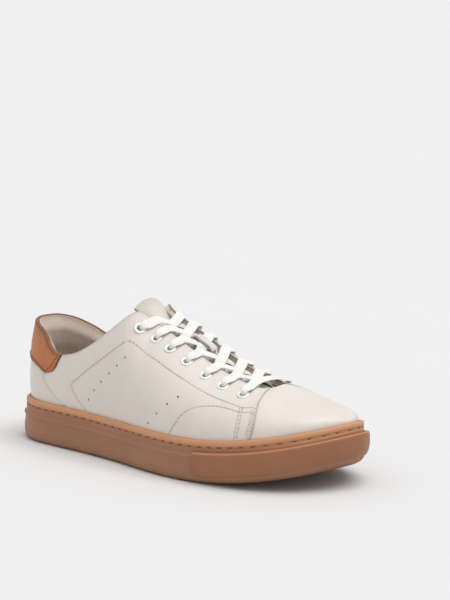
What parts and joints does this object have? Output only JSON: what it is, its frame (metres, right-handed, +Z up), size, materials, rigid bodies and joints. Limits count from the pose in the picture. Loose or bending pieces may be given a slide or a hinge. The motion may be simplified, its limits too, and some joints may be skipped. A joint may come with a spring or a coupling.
{
  "type": "court shoe",
  "caption": "Low lace-up court shoe for the right foot: leather upper, padded collar and tongue, flat lace, gum rubber cupsole with a toe bumper.",
  "frame": {"origin": "on the ground under the middle of the shoe's bounding box", "axes": "+X from heel to toe, +Z up; the outside (lateral side) of the right foot faces -Y"},
  "size_m": [0.3018, 0.1114, 0.1118],
  "materials": {
    "cupsole": "satin natural gum rubber",
    "bumper": "satin natural gum rubber",
    "thread": "waxed stitching thread",
    "leather": "smooth, semi-matte, off-white",
    "tab": "smooth, semi-matte, tan",
    "tongue_leather": "smooth, semi-matte, off-white",
    "foam": "open-cell foam",
    "board": "fibre board",
    "sockliner": "soft textile-covered foam",
    "stiffener": "moulded fibre stiffener",
    "backing": "woven tape",
    "lining": "soft off-white textile",
    "enamel": "white enamel",
    "lace": "flat woven cotton",
    "aglet": "clear-coated tip"
  },
  "bodies": {
    "shoe": {"cupsole": "cupsole", "toe_bumper": "bumper", "sidewall_thread": "thread", "midsole_foam": "foam", "insole_board": "board", "sockliner": "sockliner", "vamp": "leather", "lateral_quarter": "leather", "medial_quarter": "leather", "heel_panel": "leather", "heel_tab": "tab", "toe_puff": "stiffener", "heel_counter": "stiffener", "collar_foam": "foam", "lateral_eyestay_backing": "backing", "medial_eyestay_backing": "backing", "lateral_lining": "lining", "medial_lining": "lining", "vamp_lining": "lining", "heel_lining": "lining", "lateral_eyelet_1": "enamel", "lateral_eyelet_2": "enamel", "lateral_eyelet_3": "enamel", "lateral_eyelet_4": "enamel", "lateral_eyelet_5": "enamel", "lateral_eyelet_6": "enamel", "lateral_eyelet_7": "enamel", "medial_eyelet_1": "enamel", "medial_eyelet_2": "enamel", "medial_eyelet_3": "enamel", "medial_eyelet_4": "enamel", "medial_eyelet_5": "enamel", "medial_eyelet_6": "enamel", "medial_eyelet_7": "enamel", "lace": "lace", "medial_aglet": "aglet", "lateral_aglet": "aglet"},
    "tongue": {"tongue_shell": "tongue_leather", "tongue_foam": "foam", "tongue_lining": "lining", "lace_keeper": "tongue_leather"}
  },
  "joints": [
    {"name": "tongue_hinge", "type": "hinge", "parent": "shoe", "child": "tongue", "pos_m": [0.09, 0.002, 0.05], "axis": [0, -1, 0], "range_deg": [0, 8], "stiffness_Nm_per_rad": 1.5, "springref_deg": -1.15, "deforming": ["lace"]}
  ]
}
